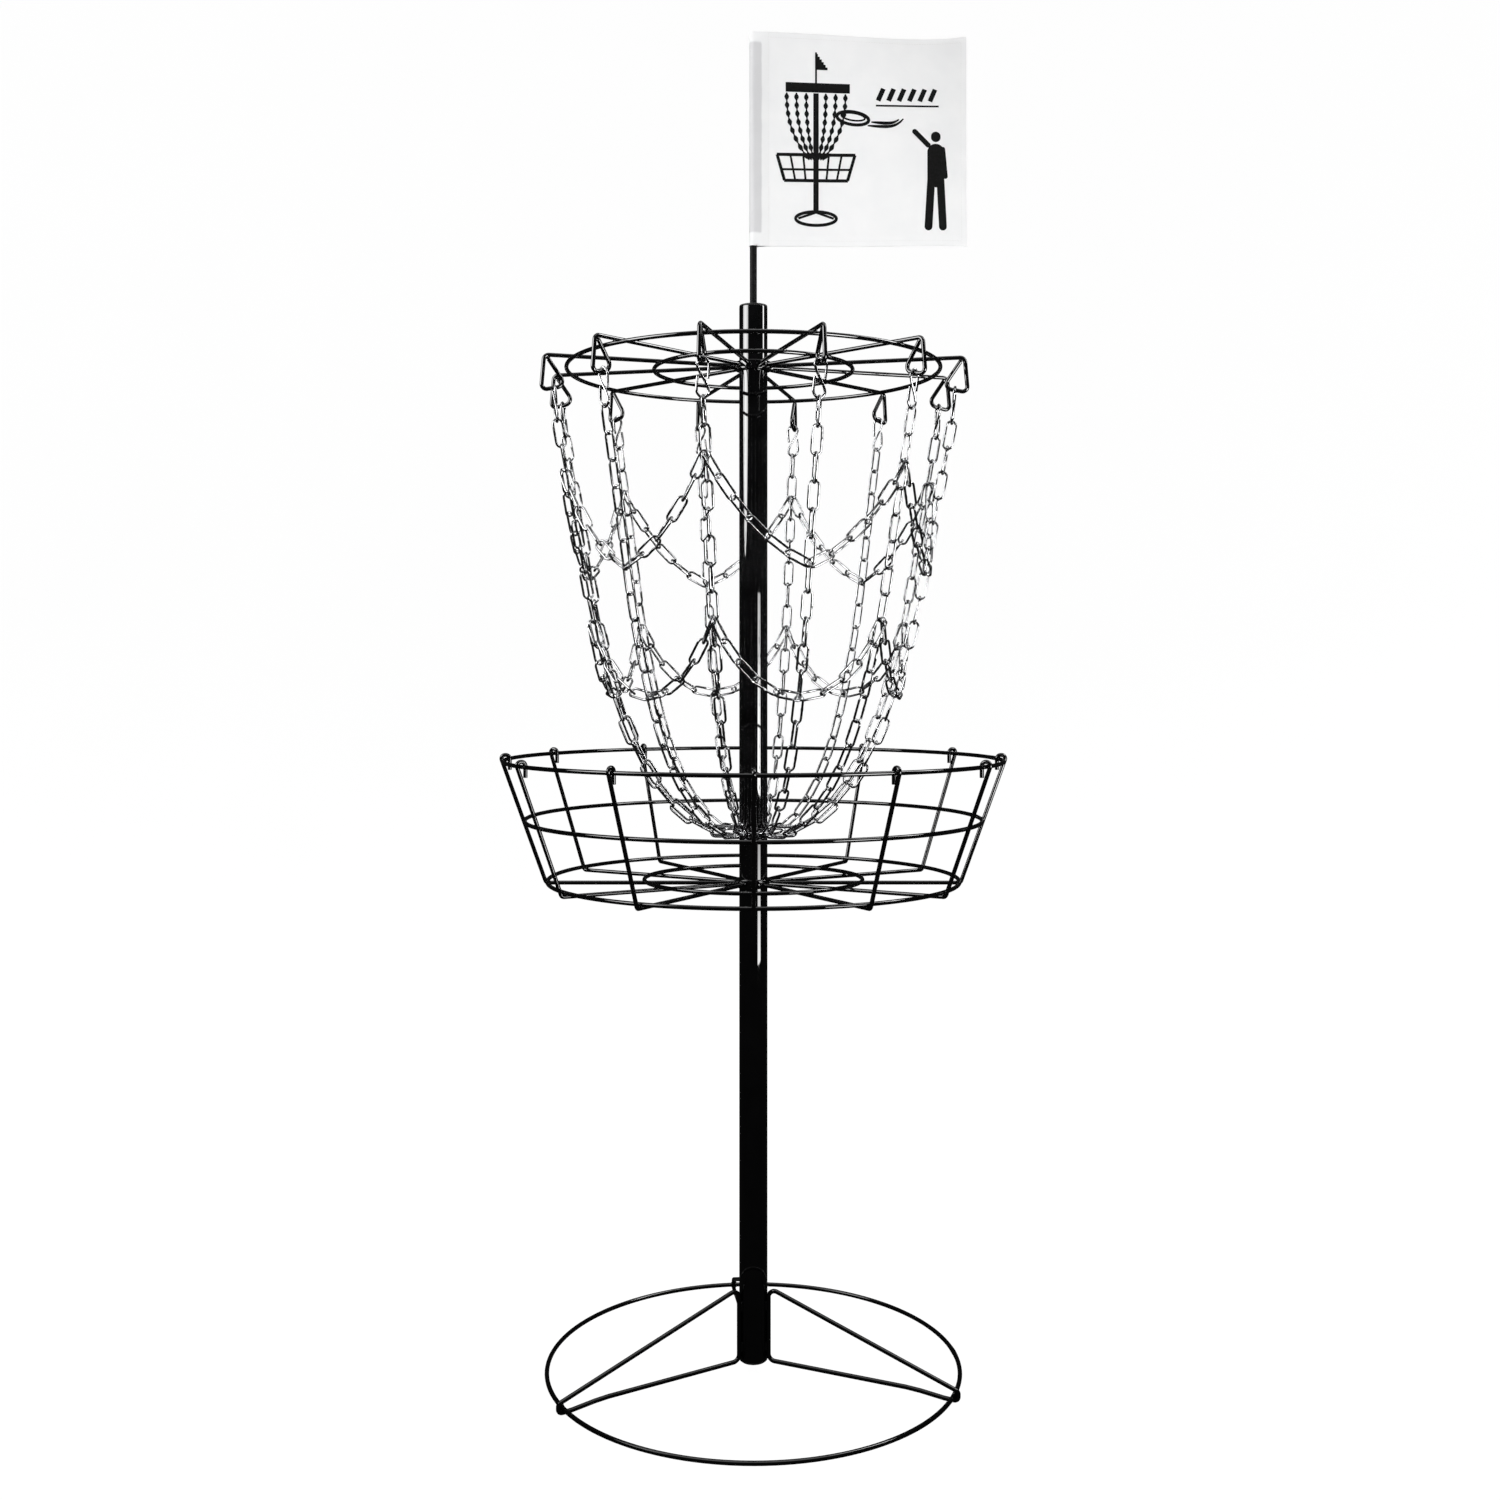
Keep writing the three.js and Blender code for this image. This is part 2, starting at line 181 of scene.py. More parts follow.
def bent(corners, closed=False, step=10):
    """A wire's middle line through (r, z, bend radius) corners, in the plane of azimuth 0."""
    n = len(corners)
    path = []
    for i, (r, z, bend) in enumerate(corners):
        here = Vector((r, z))
        if not bend:
            path.append(Vector((r, 0, z)))
            continue
        back = (Vector(corners[i - 1][:2]) - here).normalized()
        on = (Vector(corners[(i + 1) % n][:2]) - here).normalized()
        half = math.acos(max(-1.0, min(1.0, back.dot(on)))) / 2
        centre = here + (back + on).normalized() * (bend / math.sin(half))
        start = here + back * (bend / math.tan(half)) - centre
        end = here + on * (bend / math.tan(half)) - centre
        turn = -start.angle_signed(end)
        steps = max(1, math.ceil(abs(math.degrees(turn)) / step))
        for k in range(steps + 1):
            p = centre + Matrix.Rotation(turn * k / steps, 2) @ start
            path.append(Vector((p.x, 0, p.y)))
    return path


def circle(radius, z, steps=144):
    return [at(radius, z, 360 * i / steps) for i in range(steps)]


def smooth(points, per_span=12):
    """A curve through the points: a centripetal Catmull-Rom spline."""
    ends = [points[0] * 2 - points[1], *points, points[-1] * 2 - points[-2]]
    path = [points[0].copy()]
    for p0, p1, p2, p3 in zip(ends, ends[1:], ends[2:], ends[3:]):
        d0, d1, d2 = (math.sqrt((b - a).length) for a, b in ((p0, p1), (p1, p2), (p2, p3)))
        m1 = ((p1 - p0) / d0 - (p2 - p0) / (d0 + d1) + (p2 - p1) / d1) * d1
        m2 = ((p2 - p1) / d1 - (p3 - p1) / (d1 + d2) + (p3 - p2) / d2) * d1
        for k in range(1, per_span + 1):
            t = k / per_span
            a = 2 * t**3 - 3 * t**2 + 1
            b = t**3 - 2 * t**2 + t
            path.append(p1 * a + m1 * b + p2 * (1 - a) + m2 * (t**3 - t**2))
    return path


def length_of(path):
    return sum((b - a).length for a, b in zip(path, path[1:]))


def point_along(path, distance):
    for a, b in zip(path, path[1:]):
        step = (b - a).length
        if distance <= step:
            return a.lerp(b, distance / step)
        distance -= step
    return path[-1].copy()


def hanging(a, b, length, steps):
    """A chain of that length hung from a to b: points at equal lengths along its catenary.

    The catenary's scale, the radius of curvature at its lowest place, is found by halving its range.
    """
    across = Vector((b.x - a.x, b.y - a.y, 0))
    span = across.length
    rise = b.z - a.z
    slack = math.sqrt(length**2 - rise**2)
    low, high = span / 20, 1e5
    for _ in range(80):
        mid = math.sqrt(low * high)
        if 2 * mid * math.sinh(span / (2 * mid)) > slack:
            low = mid
        else:
            high = mid
    lowest = span / 2 - high * math.atanh(rise / length)
    path = []
    for i in range(steps + 1):
        x = lowest + high * math.asinh(length * i / steps / high - math.sinh(lowest / high))
        z = high * (math.cosh((x - lowest) / high) - math.cosh(lowest / high))
        path.append(a + across * (x / span) + Vector((0, 0, z)))
    return path


# ---------- surfaces ----------


class Shell:
    """The surface of one piece, gathered part by part."""

    def __init__(self):
        self.points = []
        self.faces = []

    def add(self, points, faces):
        first = len(self.points)
        self.points += [tuple(p) for p in points]
        self.faces += [[first + i for i in face] for face in faces]

    def make(self, name, body, slot, finish, nodes=(), sharp=38):
        mesh = bpy.data.meshes.new(name)
        mesh.from_pydata([(x * MM, y * MM, z * MM) for x, y, z in self.points], [], self.faces)
        mesh.shade_smooth()
        mesh.set_sharp_from_angle(angle=math.radians(sharp))
        mesh.materials.append(finish)
        piece = bpy.data.objects.new(name, mesh)
        bpy.context.scene.collection.objects.link(piece)
        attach(piece, body)
        if nodes:
            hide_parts(*nodes)
        return piece


def joined_rings(count, sides, closed):
    """Faces between rings of points that follow each other."""
    faces = []
    for i in range(count if closed else count - 1):
        a = i * sides
        b = (i + 1) % count * sides
        for j in range(sides):
            k = (j + 1) % sides
            faces.append([a + j, a + k, b + k, b + j])
    return faces


def sweep(shell, path, radius, closed=False, sides=12):
    """A round wire along a path. Its ends are cut square and slightly blunted."""
    n = len(path)
    radii = radius if isinstance(radius, list) else [radius] * n
    path = list(path)
    ways = []
    for i in range(n):
        steps = Vector()
        if closed or i > 0:
            steps += (path[i] - path[i - 1]).normalized()
        if closed or i < n - 1:
            steps += (path[(i + 1) % n] - path[i]).normalized()
        ways.append(steps.normalized())
    if not closed:
        first, last = radii[0], radii[-1]
        edge, shrink = WIRE_END["length"], WIRE_END["radius"]
        path = [path[0] - ways[0] * first * edge, *path, path[-1] + ways[-1] * last * edge]
        ways = [ways[0], *ways, ways[-1]]
        radii = [first * shrink, *radii, last * shrink]
    side = ways[0].orthogonal().normalized()
    points = []
    for i, (p, way, r) in enumerate(zip(path, ways, radii)):
        if i:
            side = ways[i - 1].rotation_difference(way) @ side
            side = (side - way * side.dot(way)).normalized()
        up = way.cross(side)
        for j in range(sides):
            a = 2 * math.pi * j / sides
            points.append(p + (side * math.cos(a) + up * math.sin(a)) * r)
    faces = joined_rings(len(path), sides, closed)
    if not closed:
        end = (len(path) - 1) * sides
        faces.append(list(range(sides))[::-1])
        faces.append([end + j for j in range(sides)])
    shell.add(points, faces)


def lathe(shell, profile, sides=96):
    """A turned solid from its closed half-section of (r, z) points, taken anticlockwise."""
    points = []
    for r, z in profile:
        points += [at(r, z, 360 * j / sides) for j in range(sides)]
    shell.add(points, joined_rings(len(profile), sides, True))


def rounded(profile, radius=0.5, steps=3):
    """The profile with each of its corners rounded off."""
    corners = [(r, z, min(radius, 0.45 * reach(profile, i))) for i, (r, z) in enumerate(profile)]
    return [(p.x, p.z) for p in bent(corners, closed=True, step=90 / steps)]


def reach(profile, i):
    """The length of the shorter of the two sides that meet at a corner of a profile."""
    here = Vector(profile[i])
    before = Vector(profile[i - 1])
    after = Vector(profile[(i + 1) % len(profile)])
    return min((here - before).length, (here - after).length)


def bead(shell, centre, along, length, radius, rings=6, sides=8):
    """A lump of weld, longest in one direction and a little uneven."""
    along = along.normalized()
    side = along.orthogonal().normalized()
    up = along.cross(side)
    points = [centre - along * length]
    for i in range(1, rings):
        a = math.pi * i / rings
        for j in range(sides):
            b = 2 * math.pi * j / sides
            lump = 1 + draw.uniform(-WELD_LUMPS, WELD_LUMPS)
            out = (side * math.cos(b) + up * math.sin(b)) * radius * math.sin(a) * lump
            points.append(centre - along * length * math.cos(a) + out)
    points.append(centre + along * length)
    faces = [[1 + f for f in face] for face in joined_rings(rings - 1, sides, False)]
    last = len(points) - 1
    for j in range(sides):
        k = (j + 1) % sides
        faces.append([0, 1 + k, 1 + j])
        faces.append([last, last - sides + j, last - sides + k])
    shell.add(points, faces)


# ---------- finishes ----------


class Finish:
    """A material made of one Principled shader and the procedural nodes that feed it."""

    def __init__(self, name, **sockets):
        self.material = bpy.data.materials.new(name)
        self.material.use_nodes = True
        self.nodes = self.material.node_tree.nodes
        self.links = self.material.node_tree.links
        self.shader = self.nodes["Principled BSDF"]
        for socket, value in sockets.items():
            self.shader.inputs[socket.replace("_", " ")].default_value = value
        self.place = self.nodes.new("ShaderNodeTexCoord").outputs["Object"]

    def noise(self, scale, detail=2.0):
        node = self.nodes.new("ShaderNodeTexNoise")
        node.inputs["Scale"].default_value = scale
        node.inputs["Detail"].default_value = detail
        self.links.new(self.place, node.inputs["Vector"])
        return node.outputs["Fac"]

    def spread(self, value, low, high, start=0.3, end=0.7):
        node = self.nodes.new("ShaderNodeMapRange")
        node.inputs["From Min"].default_value = start
        node.inputs["From Max"].default_value = end
        node.inputs["To Min"].default_value = low
        node.inputs["To Max"].default_value = high
        self.links.new(value, node.inputs["Value"])
        return node.outputs["Result"]

    def shades(self, value, *stops):
        node = self.nodes.new("ShaderNodeValToRGB")
        ramp = node.color_ramp
        while len(ramp.elements) < len(stops):
            ramp.elements.new(0.5)
        for element, (position, colour) in zip(ramp.elements, stops):
            element.position = position
            element.color = (*colour, 1)
        self.links.new(value, node.inputs["Fac"])
        return node.outputs["Color"]

    def maths(self, operation, a, b=None):
        node = self.nodes.new("ShaderNodeMath")
        node.operation = operation
        for socket, value in zip(node.inputs, (a, b)):
            if value is None:
                continue
            if isinstance(value, (int, float)):
                socket.default_value = value
            else:
                self.links.new(value, socket)
        return node.outputs["Value"]

    def bump(self, height, strength, distance):
        node = self.nodes.new("ShaderNodeBump")
        node.inputs["Strength"].default_value = strength
        node.inputs["Distance"].default_value = distance
        self.links.new(height, node.inputs["Height"])
        self.links.new(node.outputs["Normal"], self.shader.inputs["Normal"])

    def feed(self, socket, value):
        self.links.new(value, self.shader.inputs[socket])

    def colour(self, dark, light, scale, detail=2.0):
        """A base colour that wanders between two shades."""
        self.feed("Base Color", self.shades(self.noise(scale, detail), (0.3, dark), (0.7, light)))

    def roughness(self, low, high, scale, detail=2.0):
        """A roughness that wanders between two values."""
        self.feed("Roughness", self.spread(self.noise(scale, detail), low, high))

    def along(self, axis):
        node = self.nodes.new("ShaderNodeSeparateXYZ")
        self.links.new(self.place, node.inputs["Vector"])
        return node.outputs[axis]

    def weave(self):
        """Threads over and under each other."""
        turn = 2 * math.pi / WEAVE_PITCH
        warp = self.maths("SINE", self.maths("MULTIPLY", self.along("X"), turn))
        weft = self.maths("SINE", self.maths("MULTIPLY", self.along("Z"), turn))
        return self.maths("MULTIPLY", warp, weft)


def grey(level):
    return (level, level, level)


def powder_coat():
    """Glossy black powder coat, with the fine orange peel that it dries to."""
    made = Finish(
        "black_powder_coat",
        Specular_IOR_Level=0.0,
        Coat_Weight=1.0,
        Coat_IOR=2.0,
        Coat_Roughness=0.03,
    )
    made.colour((0.001, 0.001, 0.0011), (0.003, 0.003, 0.0033), scale=35.0, detail=3.0)
    made.roughness(0.22, 0.36, scale=120.0)
    made.bump(made.noise(500.0), 0.05, 0.0003)
    return made.material


def zinc():
    """Bright zinc plating, slightly clouded and uneven in its gloss."""
    made = Finish("bright_zinc", Metallic=1.0)
    dull = (0.3, (0.44, 0.45, 0.46))
    plain = (0.55, (0.57, 0.57, 0.58))
    bright = (0.8, (0.68, 0.68, 0.67))
    made.feed("Base Color", made.shades(made.noise(60.0, 4.0), dull, plain, bright))
    made.roughness(0.08, 0.17, scale=220.0, detail=3.0)
    made.bump(made.noise(900.0, 3.0), 0.1, 0.0002)
    return made.material


def plastic():
    """Black moulded plastic with a fine spark-eroded grain."""
    made = Finish("black_plastic", IOR=1.47)
    made.colour(grey(0.009), grey(0.018), scale=90.0)
    made.roughness(0.42, 0.55, scale=300.0)
    made.bump(made.noise(2200.0), 0.25, 0.0002)
    return made.material


def glass_fibre():
    """Black glass fibre rod: satin, with a fine uneven skin."""
    made = Finish("black_glass_fibre", IOR=1.5, Specular_IOR_Level=0.15)
    made.colour(grey(0.004), grey(0.008), scale=150.0, detail=3.0)
    made.roughness(0.5, 0.62, scale=260.0)
    made.bump(made.noise(1500.0), 0.1, 0.0002)
    return made.material


def cloth():
    """White woven polyester: fine plain weave, faint creases, and painted shade over the rod, where the
    black rod shows through the cloth and the sleeve casts its shadow.
    """
    made = Finish("white_polyester", Sheen_Weight=0.25, Sheen_Roughness=0.5)
    # the soft edges of the painted shade over the rod, in metres: its side, its top, and its foot over
    # the lower hem
    side, top, foot = (0.0095, 0.0125), (1.784, 1.789), (1.528, 1.532)
    beside = made.spread(made.along("X"), 1, 0, *side)
    below = made.spread(made.along("Z"), 1, 0, *top)
    above = made.spread(made.along("Z"), 0, 1, *foot)
    # painted shade: a mask over the rod inside the sleeve, standing in for the rod seen through the
    # thin cloth and the sleeve's shadow
    rod = made.maths("MULTIPLY", beside, made.maths("MULTIPLY", below, above))
    clouds = made.spread(made.noise(25.0, 4.0), 0.7, 1.0)
    tone_and_rod_shade = made.maths("SUBTRACT", clouds, made.maths("MULTIPLY", rod, 0.6))
    # darker colour stops that paint the shade over the rod
    painted_shade_over_rod = ((0.1, (0.68, 0.68, 0.69)), (0.4, (0.71, 0.71, 0.72)))
    plain = ((0.7, (0.87, 0.875, 0.88)), (1.0, grey(0.91)))
    made.feed("Base Color", made.shades(tone_and_rod_shade, *painted_shade_over_rod, *plain))
    made.roughness(0.78, 0.92, scale=160.0)
    woven = made.maths("ADD", made.maths("MULTIPLY", made.weave(), 0.5), made.noise(45.0, 3.0))
    made.bump(woven, 0.35, 0.0004)
    return made.material


def ink():
    """Black print on cloth: the weave shows through it."""
    made = Finish("black_print", Specular_IOR_Level=0.1)
    made.colour(grey(0.004), grey(0.009), scale=400.0, detail=3.0)
    made.roughness(0.55, 0.7, scale=200.0)
    made.bump(made.weave(), 0.3, 0.0003)
    return made.material


def thread():
    """White sewing thread."""
    made = Finish("white_thread", Sheen_Weight=0.2)
    made.colour((0.74, 0.74, 0.73), (0.86, 0.86, 0.85), scale=500.0)
    made.roughness(0.6, 0.8, scale=800.0)
    return made.material


BLACK = powder_coat()
ZINC = zinc()
PLASTIC = plastic()
GLASS_FIBRE = glass_fibre()
CLOTH_WHITE = cloth()
INK = ink()
THREAD = thread()


# ---------- the frame's own places ----------


def ring_of(node):
    """The radius of a wire ring's middle line, and its height, from its CAD solid."""
    low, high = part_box(node)
    thickness = (high[2] - low[2]) / MM
    outside = max(high[0], high[1]) / MM
    corner = thickness / math.sqrt(3)  # its section is a hexagon lying on a flat
    return outside - corner, (low[2] + high[2]) / 2 / MM


BASE_RING = ring_of("base_ring")
RIM = ring_of("basket_rim_ring")
MID = ring_of("basket_mid_ring")
FLOOR_OUTER = ring_of("basket_floor_ring_outer")
FLOOR_INNER = ring_of("basket_floor_ring_inner")
HOLDER_OUTER = ring_of("holder_ring_outer")
HOLDER_INNER = ring_of("holder_ring_inner")
HOOP = ring_of("chain_hoop")
POLE_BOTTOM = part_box("pole_lower")[0][2] / MM
POLE_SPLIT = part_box("pole_lower")[1][2] / MM
POLE_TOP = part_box("pole_upper")[1][2] / MM
CAP_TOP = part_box("pole_top_cap")[1][2] / MM
FOOT_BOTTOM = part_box("pole_foot_plug")[0][2] / MM
ROD_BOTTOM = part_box("flag_rod")[0][2] / MM
ROD_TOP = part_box("flag_rod")[1][2] / MM

TOUCH = 2 * WIRE - WELD_SINK
RIB_LEVEL = FLOOR_OUTER[1] - TOUCH
ARM_LEVEL = HOLDER_OUTER[1] + TOUCH


def steel(shell, name, nodes):
    return shell.make(name, "frame", "black_steel", BLACK, nodes)


def wire_ring(name, place, wire):
    """One wire bent to a ring, with the slight swelling of its butt weld."""
    shell = Shell()
    path = circle(*place)
    radii = []
    for i in range(len(path)):
        nearness = max(0.0, 1 - abs(i - BUTT_WELD["at"]) / BUTT_WELD["reach"])
        radii.append(wire * (1 + BUTT_WELD["swelling"] * nearness))
    sweep(shell, path, radii, closed=True, sides=16)
    steel(shell, name + "_wire", [name])


# ---------- pole and base ----------


def make_pole():
    bore = POLE_RADIUS - POLE_WALL
    inside = bore - POLE_SLACK
    lower = Shell()
    section = [
        (POLE_RADIUS, POLE_BOTTOM),
        (POLE_RADIUS, POLE_SPLIT),
        (bore, POLE_SPLIT),
        (bore, POLE_BOTTOM),
    ]
    lathe(lower, rounded(section))
    steel(lower, "pole_lower_tube", ["pole_lower"])

    upper = Shell()
    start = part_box("pole_upper")[0][2] / MM
    shoulder = POLE_SPLIT + 0.3
    section = [
        (inside, start),
        (inside, shoulder - 0.6),
        (POLE_RADIUS, shoulder),
        (POLE_RADIUS, POLE_TOP),
        (bore, POLE_TOP),
        (bore, shoulder + 3),
        (inside - POLE_WALL, shoulder),
        (inside - POLE_WALL, start),
    ]
    lathe(upper, rounded(section))
    steel(upper, "pole_upper_tube", ["pole_upper"])

    cap = Shell()
    socket = ROD_RADIUS + POLE_SLACK
    brim = POLE_TOP + 0.1
    section = [
        (socket, POLE_TOP - 20),
        (inside, POLE_TOP - 24),
        (inside, brim),
        (POLE_RADIUS, brim),
        (POLE_RADIUS - 0.4, CAP_TOP - 0.8),
        (socket + 3.5, CAP_TOP),
        (socket + 1.2, CAP_TOP - 0.2),
        (socket, CAP_TOP - 0.7),
    ]
    lathe(cap, rounded(section, 0.6))
    cap.make("pole_cap_moulding", "frame", "black_plastic", PLASTIC, ["pole_top_cap"])

    foot = Shell()
    hollow = FOOT_BOTTOM + 1.2  # a shallow round hollow under the plug
    brim = POLE_BOTTOM - 0.1
    top = POLE_BOTTOM + 12
    section = [
        (0.8, hollow),
        (8, hollow),
        (10, FOOT_BOTTOM),
        (POLE_RADIUS - 2.5, FOOT_BOTTOM),
        (POLE_RADIUS, FOOT_BOTTOM + 2.0),
        (POLE_RADIUS, brim),
        (inside, brim),
        (inside, top),
        (0.8, top),
    ]
    lathe(foot, rounded(section, 0.6))
    foot.make("pole_foot_moulding", "frame", "black_plastic", PLASTIC, ["pole_foot_plug"])


def make_base():
    wire_ring("base_ring", BASE_RING, BASE_WIRE)
    ring_r, ring_z = BASE_RING
    touch = 2 * BASE_WIRE - WELD_SINK
    low = BASE_WIRE
    high = ring_z + touch
    outside = ring_r + touch
    beside = POLE_RADIUS + BASE_WIRE - WELD_SINK
    corners = [
        (beside, LEG_BOTTOM, LEG_BEND),
        (beside, LEG_TOP, LEG_BEND),
        (outside, high, LEG_HAIRPIN_BEND),
        (outside, low, LEG_HAIRPIN_BEND),
        (LEG_DIP["to"], low, LEG_DIP_BENDS["to"]),
        (LEG_DIP["from"], LEG_DIP["z"], LEG_DIP_BENDS["from"]),
    ]
    loop = bent(corners, closed=True)
    for i, azimuth in enumerate(LEG_AZIMUTHS):
        shell = Shell()
        sweep(shell, turned_by(loop, azimuth), BASE_WIRE, closed=True, sides=16)
        for z in LEG_WELD_LEVELS:
            for turn in (-LEG_WELD_TURN, LEG_WELD_TURN):
                beside_leg = at(POLE_RADIUS + LEG_WELD_OFFSET, z, azimuth + turn)
                bead(shell, beside_leg, Vector((0, 0, 1)), *POLE_WELD)
        for z in ((ring_z + high) / 2, (ring_z + low) / 2):
            tangent = at(1, 0, azimuth + 90)
            bead(shell, at(ring_r + LEG_WELD_OFFSET, z, azimuth), tangent, *RING_WELD)
        steel(shell, f"base_leg_loop_{i + 1}", [f"base_leg_{i + 1}"])


# ---------- basket and chain holder ----------


def make_hub(name, z):
    """A collar round the pole, held by a small weld at each wire."""
    shell = Shell()
    inside = POLE_RADIUS + 0.15
    bottom, top = z - HUB_HEIGHT / 2, z + HUB_HEIGHT / 2
    section = [(inside, bottom), (HUB_RADIUS, bottom), (HUB_RADIUS, top), (inside, top)]
    lathe(shell, rounded(section, 1.2))
    steel(shell, name + "_collar", [name])


def make_basket():
    make_hub("basket_hub", RIB_LEVEL)
    wire_ring("basket_rim_ring", RIM, WIRE)
    wire_ring("basket_mid_ring", MID, WIRE)
    wire_ring("basket_floor_ring_outer", FLOOR_OUTER, WIRE)
    wire_ring("basket_floor_ring_inner", FLOOR_INNER, WIRE)

    slant = (RIM[0] - FLOOR_OUTER[0]) / (RIM[1] - FLOOR_OUTER[1])

    def outside(z):
        return FLOOR_OUTER[0] + slant * (z - FLOOR_OUTER[1]) + TOUCH * math.hypot(1, slant)

    hook_top = RIM[1] + RIM_HOOK_RISE
    hook_inside = RIM[0] - TOUCH
    corners = [
        (hook_inside, RIM[1] - RIM_HOOK_TAIL, 0),
        (hook_inside, hook_top, TOUCH - 0.1),
        (outside(hook_top), hook_top, TOUCH - 0.4),
        (outside(RIB_LEVEL), RIB_LEVEL, RIB_BEND),
        (SPOKE_START, RIB_LEVEL, 0),
    ]
    rib = bent(corners)
    for i in range(SPOKES):
        azimuth = SPOKE_ANGLE * i
        shell = Shell()
        sweep(shell, turned_by(rib, azimuth), WIRE, sides=14)
        outward = at(1, 0, azimuth)
        across = at(1, 0, azimuth + 90)
        bead(shell, at(HUB_WELD_RADIUS, RIB_LEVEL, azimuth), outward, *HUB_WELD)
        for r, z in (FLOOR_OUTER, FLOOR_INNER):
            bead(shell, at(r, z - TOUCH / 2, azimuth), across, *CROSS_WELD)
        bead(shell, at(MID[0] + TOUCH / 2, MID[1], azimuth), across, *CROSS_WELD)
        steel(shell, f"basket_rib_wire_{i + 1:02d}", [f"basket_rib_{i + 1:02d}"])


def make_holder():
    make_hub("holder_hub", ARM_LEVEL)
    wire_ring("holder_ring_outer", HOLDER_OUTER, WIRE)
    wire_ring("holder_ring_inner", HOLDER_INNER, WIRE)
    bottom = ARM_LEVEL - EYE_HEIGHT
    outside = ARM_REACH + EYE_LEAN
    corners = [
        (ARM_REACH - EYE_END[0], ARM_LEVEL - EYE_END[1], 0),
        (outside - EYE_WIDTH, bottom + EYE_RISE, EYE_BENDS["inner"]),
        (outside, bottom, EYE_BENDS["outer"]),
        (ARM_REACH, ARM_LEVEL, ARM_BEND),
        (SPOKE_START, ARM_LEVEL, 0),
    ]
    arm = bent(corners)
    for i in range(SPOKES):
        azimuth = HOLDER_TURN + SPOKE_ANGLE * i
        shell = Shell()
        sweep(shell, turned_by(arm, azimuth), WIRE, sides=14)
        outward = at(1, 0, azimuth)
        across = at(1, 0, azimuth + 90)
        eye_end = at(ARM_REACH - EYE_WELD_PLACE[0], ARM_LEVEL - EYE_WELD_PLACE[1], azimuth)
        bead(shell, at(HUB_WELD_RADIUS, ARM_LEVEL, azimuth), outward, *HUB_WELD)
        bead(shell, eye_end, outward, *EYE_WELD)
        for r, z in (HOLDER_OUTER, HOLDER_INNER):
            bead(shell, at(r, z + TOUCH / 2, azimuth), across, *CROSS_WELD)
        steel(shell, f"holder_arm_wire_{i + 1:02d}", [f"holder_arm_{i + 1:02d}"])


# ---------- chains ----------


def link_shape(pitch):
    """One welded chain link round the origin: long in Z, flat in Y."""
    half_width = LINK_WIDTH / 2
    half_side = (pitch + 2 * LINK_WIRE) / 2 - half_width
    path = []
    radii = []
    for side, turn in ((1, 0), (-1, 180)):
        for k in range(9):
            a = math.radians(turn + 22.5 * k)
            up = side * half_side + half_width * math.sin(a)
            path.append(Vector((half_width * math.cos(a), 0, up)))
            radii.append(LINK_WIRE)
        if side == 1:
            for z, swell in LINK_WELD:
                path.append(Vector((-half_width, 0, z)))
                radii.append(LINK_WIRE * swell)
    shell = Shell()
    sweep(shell, path, radii, closed=True, sides=10)
    return [Vector(p) for p in shell.points], shell.faces


def lay_links(shell, joints, link, first_roll, quarter, out):
    """Links from joint to joint. Every second one is rolled by a quarter turn, and all wobble."""
    points, faces = link
    for i, (a, b) in enumerate(zip(joints, joints[1:])):
        along = (b - a).normalized()
        flat = (out - along * out.dot(along)).normalized()
        across = along.cross(flat)
        axes = Matrix((flat, across, along)).transposed()
        roll = first_roll + (quarter if i % 2 else 0) + draw.uniform(-LINK_WOBBLE, LINK_WOBBLE)
        place = axes @ Matrix.Rotation(math.radians(roll), 3, "Z")
        middle = (a + b) / 2
        shell.add([middle + place @ p for p in points], faces)


STRAND = smooth([Vector((r, 0, z)) for r, z in STRAND_ROUTE])
STRAND_LENGTH = length_of(STRAND)
PITCH = (STRAND_LENGTH - S_HOOK_REACH) / STRAND_LINKS
LINK = link_shape(PITCH)


def strand_joint(number, azimuth, outward=0.0):
    """Where two links of a strand meet, counted down from the open hook."""
    p = point_along(STRAND, STRAND_LENGTH - S_HOOK_REACH - number * PITCH)
    return turned_by([p + Vector((outward, 0, 0))], azimuth)[0]


def s_hook(shell, azimuth):
    """The open hook between the arm's eye and the first link."""
    eye_r = ARM_REACH + EYE_LEAN - EYE_WIDTH / 2
    eye_top = ARM_LEVEL - EYE_HEIGHT + EYE_RISE / 2 + WIRE + HOOK_WIRE
    top = Vector((eye_r, 0, eye_top))
    joint = strand_joint(0, 0)
    bottom = joint - (top - joint).normalized() * HOOK_WIRE
    up = (top - bottom).normalized()
    middle = (top + bottom) / 2
    half = (top - bottom).length / 2
    points = [middle + Vector((0, x, 0)) + up * (half * share) for x, share in HOOK_ROUTE]
    sweep(shell, turned_by(smooth(points, 5), azimuth), HOOK_WIRE, sides=10)


def make_strands():
    for i in range(SPOKES):
        azimuth = HOLDER_TURN + SPOKE_ANGLE * i
        number = f"{i + 1:02d}"
        body = "strand_" + number
        joints = [strand_joint(k, azimuth) for k in range(STRAND_LINKS + 1)]
        links = Shell()
        lay_links(links, joints, LINK, 0, 90, at(1, 0, azimuth))
        links.make("strand_links_" + number, body, "zinc_chain", ZINC, ["chain_strand_" + number])
        hook = Shell()
        s_hook(hook, azimuth)
        hook.make("strand_hook_" + number, body, "zinc_chain", ZINC)


